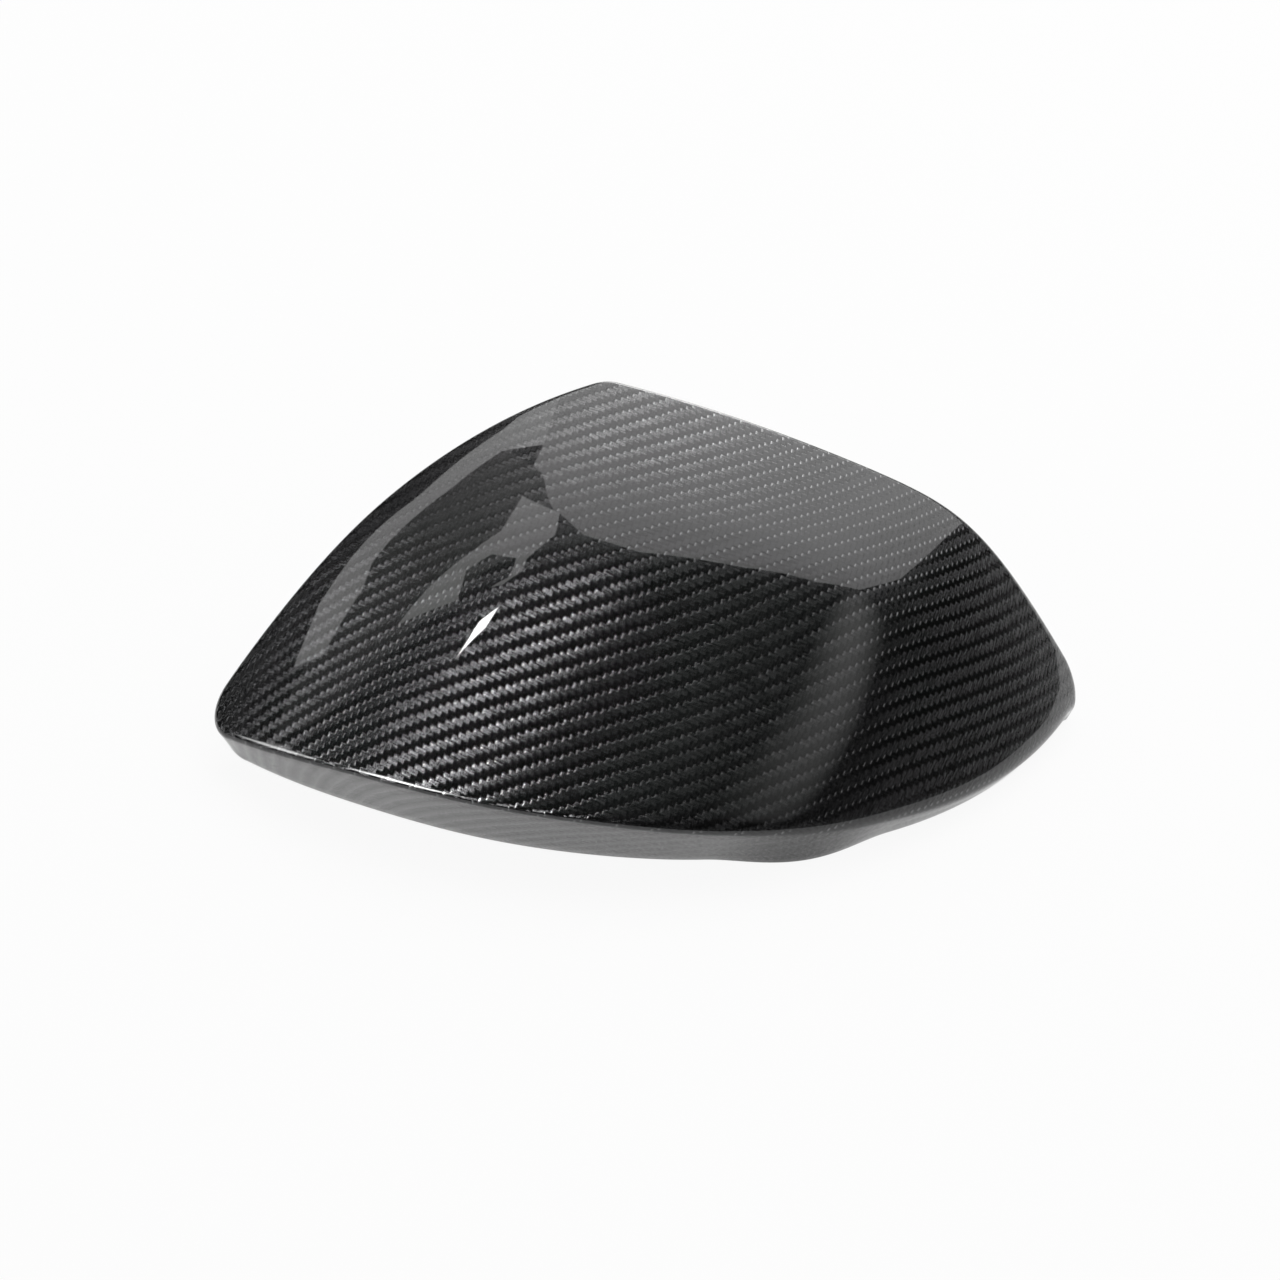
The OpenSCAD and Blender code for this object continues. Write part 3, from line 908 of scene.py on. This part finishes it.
def window(name, azimuth, elevation, width, height, brightness):
    """A window with soft edges that is only there to be mirrored: it adds no plain light."""
    bm = bmesh.new()
    bmesh.ops.create_grid(bm, x_segments=1, y_segments=1, size=1)
    obj = mesh_object(bm, name)
    obj.matrix_world = hung(azimuth, elevation) @ Matrix.Diagonal((width / 2, height / 2, 1, 1))
    obj.data.materials.append(window_material(name + "_glow", brightness))
    obj.visible_camera = obj.visible_diffuse = obj.visible_shadow = False


def panel(name, corners, brightness, distance=1.4):
    """A flat softbox whose corners lie in the given directions from the cover."""
    points = [direction(*corner) for corner in corners]
    middle = sum(points, Vector()).normalized()
    bm = bmesh.new()
    bm.faces.new([bm.verts.new(AIM + p * distance / p.dot(middle)) for p in points])
    obj = mesh_object(bm, name)
    obj.data.materials.append(glow_material(name + "_glow", brightness))
    obj.visible_camera = obj.visible_shadow = False


def dark_room():
    """The unlit studio round the table, which only mirrored rays meet."""
    bm = bmesh.new()
    bmesh.ops.create_icosphere(bm, subdivisions=4, radius=ROOM_RADIUS)
    bmesh.ops.reverse_faces(bm, faces=bm.faces)
    room = mesh_object(bm, "dark_room")
    room.data.materials.append(glow_material("Dark room", ROOM_GREY))
    room.visible_camera = room.visible_diffuse = False
    room.visible_transmission = room.visible_shadow = False


def white_floor():
    bm = bmesh.new()
    bmesh.ops.create_grid(bm, x_segments=1, y_segments=1, size=FLOOR_HALF)
    floor = mesh_object(bm, "floor")
    floor.data.materials.append(floor_material())


def white_room(scene, brightness):
    """A world that is white to look at and in mirrors, and gives soft light all round."""
    world = bpy.data.worlds.new("White room")
    world.use_nodes = True
    scene.world = world
    n = Nodes(world.node_tree)
    path = n.add("ShaderNodeLightPath")
    seen = n.math("MAXIMUM", n.math("MAXIMUM", path.outputs["Is Camera Ray"],
                                    path.outputs["Is Glossy Ray"]),
                  path.outputs["Is Transmission Ray"])
    back = world.node_tree.nodes["Background"]
    fill(back, Color=(1, 1, 1, 1))
    n.put(n.mix(seen, brightness, 1.0), back.inputs["Strength"])


def hang_lamps(stage):
    """The overhead softbox and its frame, the left wall and spot, and the soft windows."""
    for name, corners in SOFTBOX.items():
        panel(name, corners, stage.softbox * (1 if name == "overhead" else FRAME_GAIN))
    panel("left_wall", LEFT_WALL, WALL_GAIN * stage.softbox, distance=1.6)
    small_lamp("left_spot", azimuth=-108, elevation=62, size=0.035,
               brightness=SPOT_GAIN * stage.softbox)
    for name, (*place, gain) in WINDOWS.items():
        window(name, *place, gain * stage.window)


def aim_camera(scene, stage):
    """The camera at the photograph's angle, with AIM on the photograph's own pixel."""
    camera = bpy.data.cameras.new("camera")
    view = bpy.data.objects.new("camera", camera)
    scene.collection.objects.link(view)
    a, r = stage.azimuth, stage.roll
    back = direction(math.degrees(a), math.degrees(stage.elevation))
    right = Vector((math.cos(a), math.sin(a), 0))
    up = back.cross(right)
    right, up = (right * math.cos(r) + up * math.sin(r),
                 up * math.cos(r) - right * math.sin(r))
    target = AIM - Vector(scene["cover_middle"])
    turn = Matrix((right, up, back)).transposed().to_4x4()
    view.matrix_world = Matrix.Translation(target + back * stage.distance) @ turn
    camera.sensor_width = SENSOR
    camera.lens = PX_PER_MM * stage.distance / MM / FRAME_PX * SENSOR
    camera.shift_x = -(AIM_PX[0] - FRAME_PX / 2) / FRAME_PX
    camera.shift_y = (AIM_PX[1] - FRAME_PX / 2) / FRAME_PX
    scene.camera = view


class COVER_OT_stage(bpy.types.Operator):
    """Lay the white floor, hang the lamps and set the camera"""
    bl_idname = "mirror_cover.stage"
    bl_label = "Stage"

    def execute(self, context):
        scene, stage = context.scene, context.scene.cover_stage
        if "cover_middle" not in scene:
            raise RuntimeError("the carbon cap has to be built before the stage")
        white_floor()
        white_room(scene, stage.sky)
        hang_lamps(stage)
        dark_room()
        aim_camera(scene, stage)
        scene.view_settings.view_transform = "Standard"
        return {"FINISHED"}


class COVER_PT_panel(bpy.types.Panel):
    """Lists the cover's sizes, its colours and what builds it"""
    bl_idname = "COVER_PT_panel"
    bl_label = "Mirror cover"
    bl_space_type = "VIEW_3D"
    bl_region_type = "UI"
    bl_category = "Mirror cover"

    def draw(self, context):
        for group in (context.scene.cover_shape, context.scene.cover_finish,
                      context.scene.cover_stage):
            box = self.layout.box()
            for name in type(group).__annotations__:
                box.prop(group, name)
        for step in STEPS:
            self.layout.operator(step.bl_idname)


STEPS = (COVER_OT_shell, COVER_OT_clips, COVER_OT_stage)
CLASSES = (CoverShape, CoverFinish, CoverStage, *STEPS, COVER_PT_panel)


def register():
    for cls in CLASSES:
        bpy.utils.register_class(cls)
    bpy.types.Scene.cover_shape = PointerProperty(type=CoverShape)
    bpy.types.Scene.cover_finish = PointerProperty(type=CoverFinish)
    bpy.types.Scene.cover_stage = PointerProperty(type=CoverStage)


def unregister():
    del bpy.types.Scene.cover_shape, bpy.types.Scene.cover_finish, bpy.types.Scene.cover_stage
    for cls in reversed(CLASSES):
        bpy.utils.unregister_class(cls)


def main():
    register()
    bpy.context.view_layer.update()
    bpy.ops.mirror_cover.shell()
    bpy.ops.mirror_cover.clips()
    bpy.ops.mirror_cover.stage()


if __name__ == "__main__":
    main()
